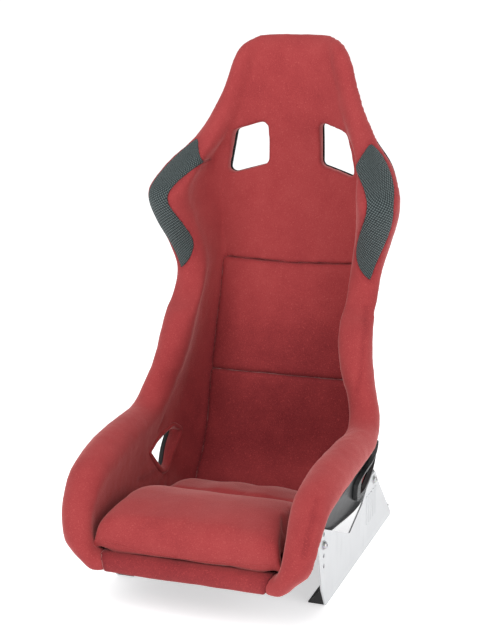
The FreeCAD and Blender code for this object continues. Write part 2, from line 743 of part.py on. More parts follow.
def main():
    os.makedirs("parts", exist_ok=True)
    parts = {}
    parts["seat_shell"] = seat_shell()
    whole = bolster()
    insert = mesh_skin(whole, trim_gap)
    parts["bolster_right"] = whole.cut(mesh_skin(whole, 0))
    parts["bolster_left"] = other_side(parts["bolster_right"])
    parts["shoulder_mesh_right"] = insert
    parts["shoulder_mesh_left"] = other_side(insert)
    parts["front_lip"] = panel("hem", "lip_top", False, False)
    parts["base_pad"] = panel("lip_top", "pan_end", False, False).cut(crotch_prism(0))
    parts["lower_back_pad"] = panel("pan_end", "lower_seam", False, True)
    parts["middle_back_pad"] = panel("lower_seam", "upper_seam", True, True)
    parts["upper_back_pad"] = slotted(panel("upper_seam", "yoke", True, False))
    parts["head_pad"] = slotted(loft(between("yoke", "top"), head_outline))
    parts["thigh_cushion"] = thigh_cushion()
    parts["rear_cushion"] = rear_cushion()
    parts["harness_slot_trim_right"] = slot_trim()
    parts["harness_slot_trim_left"] = other_side(parts["harness_slot_trim_right"])
    parts["lap_belt_guide_right"] = lap_guide()
    parts["lap_belt_guide_left"] = other_side(parts["lap_belt_guide_right"])
    parts["crotch_slot_trim"] = crotch_trim()
    parts["side_bracket_right"] = side_bracket()
    parts["side_bracket_left"] = other_side(parts["side_bracket_right"])
    parts["floor_rail_right"] = floor_rail()
    parts["floor_rail_left"] = other_side(parts["floor_rail_right"])
    parts["side_bolts"] = both_sides([bolt(y, z) for y, z in fixings()])
    parts["side_washers"] = both_sides([washer(y, z) for y, z in fixings()])
    parts["mount_bosses"] = both_sides([mount_boss(y, z) for y, z in fixings()])
    for name, shape in parts.items():
        check(name, shape)
        shape.exportStep("parts/" + name + ".step")


main()
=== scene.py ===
import json
import math
import bmesh
import bpy
import numpy as np
from mathutils import Matrix, Vector, noise
from mathutils.bvhtree import BVHTree

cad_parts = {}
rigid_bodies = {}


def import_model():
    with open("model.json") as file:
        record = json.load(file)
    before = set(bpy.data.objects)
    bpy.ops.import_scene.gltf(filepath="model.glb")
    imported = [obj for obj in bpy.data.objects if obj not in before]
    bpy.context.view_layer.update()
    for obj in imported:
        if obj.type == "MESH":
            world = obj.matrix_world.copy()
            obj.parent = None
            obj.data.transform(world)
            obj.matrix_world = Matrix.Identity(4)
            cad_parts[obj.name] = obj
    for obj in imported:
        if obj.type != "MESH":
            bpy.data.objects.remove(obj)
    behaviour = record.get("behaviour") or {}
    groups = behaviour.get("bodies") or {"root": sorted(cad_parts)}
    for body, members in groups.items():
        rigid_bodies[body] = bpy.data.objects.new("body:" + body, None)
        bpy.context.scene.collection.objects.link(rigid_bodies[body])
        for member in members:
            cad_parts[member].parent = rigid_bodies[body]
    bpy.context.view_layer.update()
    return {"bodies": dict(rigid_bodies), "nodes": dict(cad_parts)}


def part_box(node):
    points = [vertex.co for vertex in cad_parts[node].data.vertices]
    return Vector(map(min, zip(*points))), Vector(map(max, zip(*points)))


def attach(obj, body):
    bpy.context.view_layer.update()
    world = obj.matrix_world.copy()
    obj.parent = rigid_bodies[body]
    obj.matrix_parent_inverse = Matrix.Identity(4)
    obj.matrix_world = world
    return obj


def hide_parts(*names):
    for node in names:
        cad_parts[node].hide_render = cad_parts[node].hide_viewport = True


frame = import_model()
cad = frame["nodes"]
rootBody = next(iter(frame["bodies"]))
scene = bpy.context.scene
print("frame loaded,", len(cad), "nodes")


class Wire:                                   # a socket that takes arithmetic
    def __init__(self, shop, socket):
        self.shop = shop
        self.socket = socket

    def maths(self, operation, first, second):
        return self.shop.node("Math", {"operation": operation}, first, second)

    def __add__(self, other):
        return self.maths("ADD", self, other)

    def __radd__(self, other):
        return self.maths("ADD", other, self)

    def __sub__(self, other):
        return self.maths("SUBTRACT", self, other)

    def __rsub__(self, other):
        return self.maths("SUBTRACT", other, self)

    def __mul__(self, other):
        return self.maths("MULTIPLY", self, other)

    def __rmul__(self, other):
        return self.maths("MULTIPLY", other, self)


class Shop:                                   # builds one material
    def __init__(self, name):
        self.material = bpy.data.materials.new(name)
        self.material.use_nodes = True
        self.tree = self.material.node_tree
        self.tree.nodes.clear()

    def feed(self, socket, value):
        if isinstance(value, Wire):
            self.tree.links.new(value.socket, socket)
        elif isinstance(value, tuple) and len(value) == 3 and socket.type == "RGBA":
            socket.default_value = (*value, 1.0)
        elif value is not None:
            socket.default_value = value

    def setStops(self, ramp, stops):
        while len(ramp.elements) < len(stops):
            ramp.elements.new(0.5)
        for element, (place, colour) in zip(ramp.elements, stops):
            element.position = place
            element.color = (*colour, 1.0)

    def node(self, kind, settings, *values, out=0, **named):
        made = self.tree.nodes.new("ShaderNode" + kind)
        for key, value in settings.items():
            if key == "stops":
                self.setStops(made.color_ramp, value)
            else:
                setattr(made, key, value)
        for index, value in enumerate(values):
            self.feed(made.inputs[index], value)
        for key, value in named.items():
            self.feed(made.inputs[key.replace("_", " ")], value)
        return Wire(self, made.outputs[out]) if made.outputs else None

    def blend(self, factor, low, high):      # sockets 6 and 7 of a Mix node are its colours
        return self.node("Mix", {"data_type": "RGBA"}, factor, *[None] * 5, low, high, out=2)

    def place(self, scale=(1.0, 1.0, 1.0), turn=(0.0, 0.0, 0.0), weave=False):
        if weave:                            # the map that runs round the bolster
            where = self.node("UVMap", {"uv_map": "weave"})
        else:
            where = self.node("TexCoord", {}, out=3)
        return self.node("Mapping", {}, Vector=where, Scale=scale, Rotation=turn)

    def cloud(self, where, scale, detail=3.0, rough=0.5):
        return self.node("TexNoise", {"noise_dimensions": "3D"}, Vector=where, Scale=scale, Detail=detail,
                         Roughness=rough)

    def step(self, value, low, high):        # smooth step from 0 to 1
        return self.node("MapRange", {"interpolation_type": "SMOOTHSTEP"}, value, low, high, 0.0, 1.0)

    def bump(self, height, distance, strength, normal=None):
        return self.node("Bump", {}, Height=height, Distance=distance, Strength=strength, Normal=normal)

    def finish(self, **sockets):
        self.node("OutputMaterial", {}, self.node("BsdfPrincipled", {}, **sockets))
        return self.material


# Scales are in waves per metre, and each bump is a distance and a strength.
velour = {
    "deep": (0.115, 0.0085, 0.0135),
    "middle": (0.315, 0.040, 0.042),
    "pale": (0.43, 0.082, 0.078),
    # the colour of the painted shade in creases and seams
    "crease": (0.10, 0.008, 0.012),
    "sheenTint": (1.0, 0.55, 0.52),
    "grain": 900.0,
    "speckle": 378.0,
    "mottle": 26.0,
    "broad": 7.0,
    # pit and seam darken the cloth as painted shade, low in the back of the seat and beside seams
    "tone": {"base": 0.52, "mottle": 0.26, "broad": 0.30, "grain": 0.75, "pitShade": 0.30, "seam": 0.12},
    "glintFrom": (0.62, 0.70),
    "glint": 0.22,
    "creaseWidth": (0.0002, 0.0016),          # metres from a seam, where the painted crease shade lies
    "seamShadeWidth": (0.001, 0.012),
    "creaseShare": 0.55,
    "pitShadeBack": (-0.06, 0.16),                 # the shaded pit of the seat, along y and z
    "pitShadeTop": (0.22, 0.56),
    "grainHeight": 0.6,
    "speckleHeight": 0.4,
    "pileBump": (0.0007, 0.6),
    "waveBump": (0.003, 0.25),
    "creaseBump": (0.0015, 0.6),
    "roughness": 0.93,
    "glintGloss": 0.10,
    "sheen": (0.55, 0.38),                    # weight and roughness
    "specular": 0.18,
    "lipPanShade": 0.24,                         # painted shade: how much darker the lip and the pan are, as they lie in shadow
}


# a darker copy of the velour carries painted shade all over
def makeVelour(name, paintedShade=0.0):
    shop = Shop(name)
    tones = velour["tone"]
    where = shop.place()
    fine = shop.cloud(where, velour["grain"], 2.0, 0.6)
    speckle = shop.cloud(where, velour["speckle"], 1.0)
    mottle = shop.cloud(where, velour["mottle"], 4.0, 0.55)
    broad = shop.cloud(where, velour["broad"], 2.0)
    seam = shop.node("Attribute", {"attribute_name": "seam"}, out=2)
    # painted shade: the cloth darkens in each crease and in a wider band beside each seam; the crease also
    # dents the cloth
    crease = 1.0 - shop.step(seam, *velour["creaseWidth"])
    near = 1.0 - shop.step(seam, *velour["seamShadeWidth"])
    back = shop.node("SeparateXYZ", {}, where, out=1)
    height = shop.node("SeparateXYZ", {}, where, out=2)
    # painted shade: the cloth is darker low down in the back of the seat
    pitShade = shop.step(back, *velour["pitShadeBack"]) * (1.0 - shop.step(height, *velour["pitShadeTop"]))
    glint = shop.step(speckle, *velour["glintFrom"]) * velour["glint"]
    tone = tones["base"] + tones["mottle"] * (mottle - 0.5) + tones["broad"] * (broad - 0.5)
    tone = tone + tones["grain"] * (fine - 0.5) - paintedShade - tones["pitShade"] * pitShade + glint - tones["seam"] * near
    stops = [(0.0, velour["deep"]), (0.5, velour["middle"]), (1.0, velour["pale"])]
    colour = shop.node("ValToRGB", {"stops": stops}, tone)
    colour = shop.blend(crease * velour["creaseShare"], colour, velour["crease"])
    pile = shop.bump(fine * velour["grainHeight"] + speckle * velour["speckleHeight"], *velour["pileBump"])
    wave = shop.bump(mottle, *velour["waveBump"], pile)
    joint = shop.bump(1.0 - crease, *velour["creaseBump"], wave)
    return shop.finish(Base_Color=colour, Roughness=velour["roughness"] - velour["glintGloss"] * glint,
                       Normal=joint, Sheen_Weight=velour["sheen"][0], Sheen_Roughness=velour["sheen"][1],
                       Sheen_Tint=velour["sheenTint"], Specular_IOR_Level=velour["specular"])


dottedMesh = {
    "turn": 0.5,                              # radians, so that the rows run aslant
    "dots": 235.0,
    "scatter": 0.12,
    "knotFrom": (0.20, 0.42),                 # parts of the dots' spacing
    "holeFrom": (0.46, 0.62),
    "ground": ((0.020, 0.030, 0.031), (0.038, 0.052, 0.052)),
    "knot": (0.17, 0.205, 0.205),
    "hole": (0.006, 0.010, 0.011),
    "knotShare": 0.60,
    "holeShare": 0.9,
    "broad": 14.0,
    "yarn": 1400.0,
    "yarnHeight": 0.3,
    "bump": (0.0009, 0.8),
    "roughness": 0.62,
    "holeRoughness": 0.25,
    "sheen": 0.05,
    "specular": 0.2,
}


def makeMeshFabric():
    shop = Shop("dottedMesh")
    where = shop.place(turn=(0.0, 0.0, dottedMesh["turn"]), weave=True)
    dots = shop.node("TexVoronoi", {"feature": "F1", "voronoi_dimensions": "2D"}, Vector=where,
                     Scale=dottedMesh["dots"], Randomness=dottedMesh["scatter"])
    knot = 1.0 - shop.step(dots, *dottedMesh["knotFrom"])
    hole = shop.step(dots, *dottedMesh["holeFrom"])
    broad = shop.cloud(shop.place(), dottedMesh["broad"])
    yarn = shop.cloud(shop.place(), dottedMesh["yarn"], 1.0)
    colour = shop.blend(broad, *dottedMesh["ground"])
    colour = shop.blend(knot * dottedMesh["knotShare"], colour, dottedMesh["knot"])
    colour = shop.blend(hole * dottedMesh["holeShare"], colour, dottedMesh["hole"])
    weave = shop.bump(knot - hole + dottedMesh["yarnHeight"] * yarn, *dottedMesh["bump"])
    return shop.finish(Base_Color=colour, Normal=weave,
                       Roughness=dottedMesh["roughness"] + dottedMesh["holeRoughness"] * hole,
                       Sheen_Weight=dottedMesh["sheen"], Specular_IOR_Level=dottedMesh["specular"])


gelcoat = {
    "colour": (0.0085, 0.0085, 0.0095),
    "scuffed": (0.022, 0.022, 0.024),
    "ripple": 18.0,
    "fleck": 520.0,
    "fleckHeight": 0.02,
    "scuff": 60.0,
    "scuffFrom": (0.60, 0.74),
    "scuffShare": 0.35,
    "bump": (0.0022, 0.35),
    "roughness": {"base": 0.27, "scuff": 0.16, "fleck": 0.05},
    "coat": (0.03, 0.06),                     # weight and roughness
    "specular": 0.06,
}


def makeShellGloss():
    shop = Shop("shellGelcoat")
    rough = gelcoat["roughness"]
    where = shop.place()
    ripple = shop.cloud(where, gelcoat["ripple"], 2.0)
    fleck = shop.cloud(where, gelcoat["fleck"], 2.0)
    scuff = shop.step(shop.cloud(where, gelcoat["scuff"], 6.0, 0.7), *gelcoat["scuffFrom"])
    colour = shop.blend(scuff * gelcoat["scuffShare"], gelcoat["colour"], gelcoat["scuffed"])
    surface = shop.bump(ripple + gelcoat["fleckHeight"] * fleck, *gelcoat["bump"])
    return shop.finish(Base_Color=colour, Normal=surface,
                       Roughness=rough["base"] + rough["scuff"] * scuff + rough["fleck"] * fleck,
                       Coat_Weight=gelcoat["coat"][0], Coat_Roughness=gelcoat["coat"][1],
                       Specular_IOR_Level=gelcoat["specular"])


moulding = {
    "trimDark": 0.011,
    "railDark": 0.014,
    "blue": 1.05,                             # a touch bluer than grey
    "worn": (2.6, 2.7),                       # how many times lighter it wears, and in blue
    "leather": 900.0,
    "leatherFrom": (0.0, 0.12),
    "wear": 90.0,
    "wearFrom": (0.58, 0.72),
    "wearShare": 0.5,
    "bump": (0.0003, 0.5),
    "roughness": (0.42, 0.2),                 # new, and added where worn
    "specular": 0.45,
}


def makeMoulding(name, dark):
    shop = Shop(name)
    lighter, bluer = moulding["worn"]
    where = shop.place()
    leather = shop.node("TexVoronoi", {"feature": "DISTANCE_TO_EDGE"}, Vector=where,
                        Scale=moulding["leather"])
    wear = shop.step(shop.cloud(where, moulding["wear"], 5.0, 0.65), *moulding["wearFrom"])
    colour = shop.blend(wear * moulding["wearShare"], (dark, dark, dark * moulding["blue"]),
                        (dark * lighter, dark * lighter, dark * bluer))
    grain = shop.bump(shop.step(leather, *moulding["leatherFrom"]), *moulding["bump"])
    return shop.finish(Base_Color=colour, Normal=grain, Specular_IOR_Level=moulding["specular"],
                       Roughness=moulding["roughness"][0] + moulding["roughness"][1] * wear)


silver = {
    "shades": ((0.52, 0.53, 0.54), (0.62, 0.63, 0.64)),
    "smeared": (0.46, 0.47, 0.485),
    "flake": 2600.0,
    "broad": 9.0,
    "smear": 60.0,
    "smearStretch": (1.0, 1.0, 0.18),         # smears run up and down
    "smearFrom": (0.55, 0.8),
    "smearShare": 0.35,
    "peel": 420.0,
    "flakeHeight": 0.2,
    "bump": (0.0003, 0.35),
    "roughness": (0.34, 0.14),                # clean, and added where smeared
    "metallic": (0.35, 0.15),                 # between flakes, and added on them
    "coat": (0.25, 0.2),
}


def makeSilver():
    shop = Shop("satinSilverPaint")
    where = shop.place()
    flake = shop.cloud(where, silver["flake"], 1.0)
    broad = shop.cloud(where, silver["broad"])
    smear = shop.cloud(shop.place(scale=silver["smearStretch"]), silver["smear"], 4.0, 0.6)
    colour = shop.blend(broad, *silver["shades"])
    smeared = shop.step(smear, *silver["smearFrom"])
    colour = shop.blend(smeared * silver["smearShare"], colour, silver["smeared"])
    peel = shop.bump(shop.cloud(where, silver["peel"], 2.0) + silver["flakeHeight"] * flake, *silver["bump"])
    return shop.finish(Base_Color=colour, Roughness=silver["roughness"][0] + silver["roughness"][1] * smear,
                       Metallic=silver["metallic"][0] + silver["metallic"][1] * flake, Normal=peel,
                       Coat_Weight=silver["coat"][0], Coat_Roughness=silver["coat"][1])


zinc = {
    "shades": ((0.38, 0.39, 0.40), (0.62, 0.62, 0.62)),
    "spangle": 420.0,
    "spangleShare": 0.12,
    "smoke": 160.0,
    "bump": (0.0003, 0.4),
    "roughness": (0.28, 0.2),                 # bright, and added where smoky
}


def makeZinc():
    shop = Shop("zincPlate")
    where = shop.place()
    spangle = shop.node("TexVoronoi", {"feature": "F1"}, Vector=where, Scale=zinc["spangle"], out=1)
    smoke = shop.cloud(where, zinc["smoke"])
    colour = shop.blend(smoke, *zinc["shades"])
    colour = shop.blend(zinc["spangleShare"], colour, spangle)
    return shop.finish(Base_Color=colour, Roughness=zinc["roughness"][0] + zinc["roughness"][1] * smoke,
                       Metallic=1.0, Normal=shop.bump(smoke, *zinc["bump"]))


finishes = {
    "velour": makeVelour("redVelour"),
    # the same velour with painted shade, for the lip and the pan
    "velourShaded": makeVelour("redVelourPaintedShade", velour["lipPanShade"]),
    "mesh": makeMeshFabric(),
    "shell": makeShellGloss(),
    "moulding": makeMoulding("blackMoulding", moulding["trimDark"]),
    "railBlack": makeMoulding("blackRail", moulding["railDark"]),
    "silver": makeSilver(),
    "zinc": makeZinc(),
}
print("materials made")


# Mesh helpers

def newPiece(name, mesh, finish):
    data = bpy.data.meshes.new(name)
    mesh.to_mesh(data)
    mesh.free()
    piece = bpy.data.objects.new(name, data)
    scene.collection.objects.link(piece)
    data.materials.append(finishes[finish])
    return piece


def addMesh(whole, part):                    # puts one bmesh into another and frees it
    holder = bpy.data.meshes.new("holder")
    part.to_mesh(holder)
    part.free()
    whole.from_mesh(holder)
    bpy.data.meshes.remove(holder)


def merged(names, swell=0.0, weld=0.00002):  # closed copies of CAD nodes, swollen along their normals
    mesh = bmesh.new()
    for name in names:
        part = bmesh.new()
        part.from_mesh(cad[name].data)
        bmesh.ops.remove_doubles(part, verts=part.verts, dist=weld)
        part.normal_update()
        if swell:
            for vert in part.verts:
                vert.co += vert.normal * swell
        addMesh(mesh, part)
    return mesh


def bake(piece):                             # modifiers become the mesh itself
    graph = bpy.context.evaluated_depsgraph_get()
    done = bpy.data.meshes.new_from_object(piece.evaluated_get(graph))
    old = piece.data
    piece.modifiers.clear()
    piece.data = done
    bpy.data.meshes.remove(old)


def addRemesh(piece, voxel):
    step = piece.modifiers.new("voxels", "REMESH")
    step.mode = "VOXEL"
    step.voxel_size = voxel
    step.use_smooth_shade = True


def addSmooth(piece, times):
    step = piece.modifiers.new("relax", "SMOOTH")
    step.factor = 0.5
    step.iterations = times


def addSubdivision(piece):
    step = piece.modifiers.new("fine", "SUBSURF")
    step.levels = 1
    step.render_levels = 1


def shadeSmooth(piece):
    for face in piece.data.polygons:
        face.use_smooth = True


def points(piece):
    flat = np.empty(len(piece.data.vertices) * 3)
    piece.data.vertices.foreach_get("co", flat)
    return flat.reshape(-1, 3)


def normals(piece):
    flat = np.empty(len(piece.data.vertices) * 3)
    piece.data.vertices.foreach_get("normal", flat)
    return flat.reshape(-1, 3)


def move(piece, where):
    piece.data.vertices.foreach_set("co", where.ravel())
    piece.data.update()


def rise(values, start, run):                # 0 up to start, then a straight climb to 1
    return np.clip((values - start) / run, 0.0, 1.0)


def fall(values, end, run):                  # 0 above end, and 1 where values lie lower by run
    return np.clip((end - values) / run, 0.0, 1.0)


def distanceTo(where, path):                 # shortest way from each point to a run of points
    path = np.array(path, float)
    best = np.full(len(where), 1.0)
    for start, end in zip(path[:-1], path[1:]):
        run = end - start
        share = np.clip(((where - start) @ run) / max(run @ run, 1e-12), 0.0, 1.0)
        best = np.minimum(best, np.linalg.norm(where - (start + share[:, None] * run), axis=1))
    return best


def smoothPath(path, count=8):               # a rounder path through the same points
    path = np.array(path, float)
    padded = np.vstack([2 * path[0] - path[1], path, 2 * path[-1] - path[-2]])
    out = []
    for index in range(1, len(padded) - 2):
        before, start, end, after = padded[index - 1:index + 3]
        for step in range(count):
            t = step / count
            out.append(0.5 * (2 * start + (end - before) * t
                              + (2 * before - 5 * start + 4 * end - after) * t * t
                              + (3 * start - before - 3 * end + after) * t ** 3))
    out.append(path[-1])
    return np.array(out)


def soften(piece, size, wave, seed):         # slow unevenness of stretched cloth over foam
    where = points(piece)
    out = normals(piece)
    lift = np.array([noise.noise(Vector(p) * wave + Vector((seed, seed * 2, 0))) for p in where])
    move(piece, where + out * (lift * size)[:, None])


def treeOf(mesh):                            # a search tree of a bmesh, which it frees
    tree = BVHTree.FromBMesh(mesh)
    mesh.free()
    return tree


def treeOfPiece(piece):
    mesh = bmesh.new()
    mesh.from_mesh(piece.data)
    return treeOf(mesh)


def surfaceGap(piece, names):                # how far each point is from those CAD nodes
    tree = treeOf(merged(names))
    return np.array([tree.find_nearest(Vector(p))[3] for p in points(piece)])


def writeSeam(piece, gaps):                  # the velour reads how far a seam is, and paints shade and dents along it
    mark = piece.data.attributes.get("seam") or piece.data.attributes.new("seam", "FLOAT", "POINT")
    mark.data.foreach_set("value", np.asarray(gaps, np.float32))


# Camera, floor and light

view = {
    "eye": (0.88109, -2.4797, 1.11117),
    "yaw": 20.3365,                           # degrees
    "pitch": 13.938,
    "roll": -0.5877,
    "sensor": 36.0,                           # millimetres
    "lens": 79.65,
    "focalPixels": 1415.967,
    "middlePixel": (240.0, 320.0),
}


def cameraAxes():
    yaw, pitch, roll = (math.radians(view[key]) for key in ("yaw", "pitch", "roll"))
    ahead = Vector((-math.sin(yaw) * math.cos(pitch), math.cos(yaw) * math.cos(pitch), -math.sin(pitch)))
    right = Vector((math.cos(yaw), math.sin(yaw), 0.0))
    up = right.cross(ahead)
    turnedRight = right * math.cos(roll) + up * math.sin(roll)
    turnedUp = up * math.cos(roll) - right * math.sin(roll)
    return turnedRight, turnedUp, ahead


def makeCamera():
    right, up, ahead = cameraAxes()
    data = bpy.data.cameras.new("camera")
    data.sensor_fit = "VERTICAL"
    data.sensor_height = view["sensor"]
    data.lens = view["lens"]
    camera = bpy.data.objects.new("camera", data)
    matrix = Matrix((right, up, -ahead)).transposed().to_4x4()
    matrix.translation = Vector(view["eye"])
    camera.matrix_world = matrix
    scene.collection.objects.link(camera)
    scene.camera = camera


def sightLine(x, y):                         # the way from the eye through a pixel
    right, up, ahead = cameraAxes()
    middleX, middleY = view["middlePixel"]
    across = (x - middleX) / view["focalPixels"]
    upward = (middleY - y) / view["focalPixels"]
    return (ahead + right * across + up * upward).normalized()


def seenOn(piece, spots):                    # where the sight lines through some pixels meet a piece
    tree = treeOfPiece(piece)
    found = []
    for x, y in spots:
        place, _, _, _ = tree.ray_cast(Vector(view["eye"]), sightLine(x, y))
        if place is not None:
            found.append(tuple(place))
    return found


def pressCreases(piece, creases, width, edge, gaps):
    for depth, spots in creases:
        path = seenOn(piece, spots)
        if len(path) > 1:
            away = distanceTo(points(piece), smoothPath(path))
            groove = depth * np.exp(-(away / width) ** 2)
            move(piece, points(piece) - normals(piece) * groove[:, None])
            # the pressed crease also gets painted shade through the seam attribute
            gaps = np.minimum(gaps, away + edge)
    return gaps


studio = {
    "lights": [                               # name, place, aim, width and height, watts
        ("key", (-0.9, -2.3, 2.7), (0.0, 0.0, 0.45), (2.0, 2.0), 54.0),
        ("fill", (2.6, -1.5, 1.4), (0.0, 0.0, 0.45), (1.6, 2.0), 28.0),
        ("back", (0.6, 2.4, 2.2), (0.0, 0.0, 0.6), (2.0, 1.4), 18.0),
    ],
    "sky": 0.66,
    "floorReach": 160.0,
    "floorDrop": 0.0005,                      # keeps the floor just under the rails
    "floorShades": ((0.86, 0.86, 0.87), (0.90, 0.90, 0.905)),
    "floorGrain": 2.0,
    "floorGlow": 0.6,
    "floorRoughness": 0.9,
}


def makeLight(name, place, aim, size, power):
    data = bpy.data.lights.new(name, "AREA")
    data.shape = "RECTANGLE"
    data.size, data.size_y = size
    data.energy = power
    light = bpy.data.objects.new(name, data)
    light.location = place
    light.rotation_euler = (Vector(aim) - Vector(place)).to_track_quat("-Z", "Y").to_euler()
    scene.collection.objects.link(light)


def makeFloor():
    shop = Shop("paleFloor")
    colour = shop.blend(shop.cloud(shop.place(), studio["floorGrain"]), *studio["floorShades"])
    paint = shop.finish(Base_Color=colour, Roughness=studio["floorRoughness"], Specular_IOR_Level=0.0,
                        Emission_Color=colour, Emission_Strength=studio["floorGlow"])
    mesh = bmesh.new()
    bmesh.ops.create_grid(mesh, x_segments=2, y_segments=2, size=studio["floorReach"])
    data = bpy.data.meshes.new("floor")
    mesh.to_mesh(data)
    mesh.free()
    data.materials.append(paint)
    floor = bpy.data.objects.new("floor", data)
    floor.location.z = -studio["floorDrop"]
    scene.collection.objects.link(floor)


def makeSky():
    world = bpy.data.worlds.new("studio")
    world.use_nodes = True
    background = world.node_tree.nodes["Background"]
    background.inputs[0].default_value = (1.0, 1.0, 1.0, 1.0)
    background.inputs[1].default_value = studio["sky"]
    scene.world = world
    scene.view_settings.view_transform = "Standard"


makeCamera()
makeFloor()
for light in studio["lights"]:
    makeLight(*light)
makeSky()
print("camera and light set")


# CAD nodes that are shown as they are, with their finishes

carried = {
    "seat_shell": "shell",
    "harness_slot_trim_left": "moulding",
    "harness_slot_trim_right": "moulding",
    "lap_belt_guide_left": "moulding",
    "lap_belt_guide_right": "moulding",
    "crotch_slot_trim": "moulding",
    "side_bracket_left": "silver",
    "side_bracket_right": "silver",
    # the floor rails are drawn near-black
    "floor_rail_left": "railBlack",
    "floor_rail_right": "railBlack",
    "side_bolts": "zinc",
    "side_washers": "zinc",
    "mount_bosses": "moulding",
}
for node, finish in carried.items():
    if not cad[node].data.materials:
        cad[node].data.materials.append(None)
    for holder in cad[node].material_slots:
        holder.link = "OBJECT"
        holder.material = finishes[finish]
print("CAD nodes finished")


def settle(piece, nodes):
    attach(piece, rootBody)
    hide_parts(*nodes)


# Padded panels of the back and the pan, and the pad under the front edge

panels = {
    "middleBackPanel": ("middle_back_pad", "velour"),
    "lowerBackPanel": ("lower_back_pad", "velour"),
    # the lip and the pan take the velour with painted shade
    "frontLipPad": ("front_lip", "velourShaded"),
    "panPad": ("base_pad", "velourShaded"),
}
panelForm = {
    "swell": 0.0005,
    "voxel": 0.0036,
    "relax": 3,
    "sideFrom": 0.09,                         # past this x the ends reach out to the bolsters
    "sideRun": 0.04,
    "sidePush": 0.0036,
    "tallHalf": 0.05,                         # a panel taller than twice this also grows to its seams
    "seamPush": 0.0006,
    "wave": (0.0012, 26.0),                   # height and waves per metre
    "fill": 0.85,
    "seams": ["bolster_left", "bolster_right", "upper_back_pad"],
}


def makePanel(name, node, finish):
    piece = newPiece(name, merged([node], panelForm["swell"]), finish)
    addRemesh(piece, panelForm["voxel"])
    addSmooth(piece, panelForm["relax"])
    bake(piece)
    where = points(piece)
    side = rise(np.abs(where[:, 0]), panelForm["sideFrom"], panelForm["sideRun"])
    where[:, 0] += np.sign(where[:, 0]) * side * panelForm["sidePush"]
    middle = (where[:, 2].max() + where[:, 2].min()) / 2
    half = (where[:, 2].max() - where[:, 2].min()) / 2
    if half > panelForm["tallHalf"]:
        where[:, 2] += (where[:, 2] - middle) / half * panelForm["seamPush"]
    move(piece, where)
    shadeSmooth(piece)
    soften(piece, *panelForm["wave"], len(name))    # each name's length is its seed
    others = [other for other, _ in panels.values() if other != node]
    writeSeam(piece, surfaceGap(piece, others + panelForm["seams"]))
    settle(piece, [node])


for name, (node, finish) in panels.items():
    makePanel(name, node, finish)
print("panels made")


# Loose cushions, blown up a little as cloth. Each crease is its depth and the pixels of the picture
# that its line runs through.

cushions = {
    "thighCushion": {
        "node": "thigh_cushion",
        "shrink": 0.004,
        "widen": 1.045,
        "square": 0.017,                      # how far the front corners come forward
        "drop": 0.022,                        # how far the front hangs down over the lip
        "pressure": 4.0,
        "cap": 0.008,                         # the cloth moves no further than this
        "roomLow": (0.010, 0.003, 0.0),       # beyond the CAD node's box
        "roomHigh": (0.010, 0.0, 0.005),
        "wave": (0.0016, 18.0, 5.0),          # height, waves per metre and seed
        "creases": [
            (0.0024, [(88, 556), (92, 560), (97, 566)]),
            (0.0024, [(90, 549), (96, 554), (104, 559)]),
            (0.0024, [(262, 575), (270, 580), (279, 584)]),
        ],
    },
    "rearCushion": {
        "node": "rear_cushion",
        "shrink": 0.003,
        "widen": 1.02,
        "square": 0.0,
        "drop": 0.0,
        "pressure": 3.0,
        "cap": 0.006,
        "roomLow": (0.0055, 0.0, 0.0),
        "roomHigh": (0.0055, 0.0, 0.005),
        "wave": (0.0014, 20.0, 7.0),
        "creases": [],
    },
}
cushionForm = {
    "voxel": 0.0058,
    "relax": 3,
    "endFrom": 0.126,                         # past this x the ends round off
    "endRun": 0.044,
    "squareEnd": -0.16,                       # in front of this y the corners are squared
    "squareRun": 0.2,
    "creaseWidth": 0.004,
    "creaseEdge": 0.0008,
    "fill": 0.75,
}
hang = {                                      # the front of a cushion over the lip
    "frontEnd": -0.335,
    "frontRun": 0.055,
    "frontPower": 1.5,
    "lowEnd": 0.165,
    "lowRun": 0.030,
    "middleEnd": 0.160,
    "middleRun": 0.030,
    "middleShare": 0.2,
    "lipY": -0.376,                           # where the lip starts, its height and its slope
    "lipZ": 0.1245,
    "lipSlope": 0.42,
    "panY": -0.149,                           # the pan behind it
    "panZ": 0.1015,
    "panSlope": 0.1013,
    "clear": 0.0015,
}
cloth = {
    "quality": 5,
    "stiffness": 15.0,
    "frames": 20,
}


def squareCorners(where, square):
    past = np.maximum(0.0, np.abs(where[:, 0]) - cushionForm["endFrom"]) / cushionForm["endRun"]
    fullness = np.sqrt(np.maximum(0.0, 1.0 - np.minimum(past, 1.0) ** 2))
    front = fall(where[:, 1], cushionForm["squareEnd"], cushionForm["squareRun"])
    where[:, 1] -= square * (1.0 - fullness) * front


def hangFront(where, drop):
    forward = fall(where[:, 1], hang["frontEnd"], hang["frontRun"]) ** hang["frontPower"]
    low = fall(where[:, 2], hang["lowEnd"], hang["lowRun"])
    middle = fall(np.abs(where[:, 0]), hang["middleEnd"], hang["middleRun"])
    middle = middle * hang["middleShare"] + (1.0 - hang["middleShare"])
    where[:, 2] -= drop * forward * low * middle
    lip = hang["lipZ"] + np.minimum(0.0, where[:, 1] - hang["lipY"]) * hang["lipSlope"]
    pan = hang["panZ"] + (hang["panY"] - where[:, 1]) * hang["panSlope"]
    under = np.where(where[:, 1] > hang["lipY"], pan, lip)
    where[:, 2] = np.maximum(where[:, 2], under + hang["clear"])


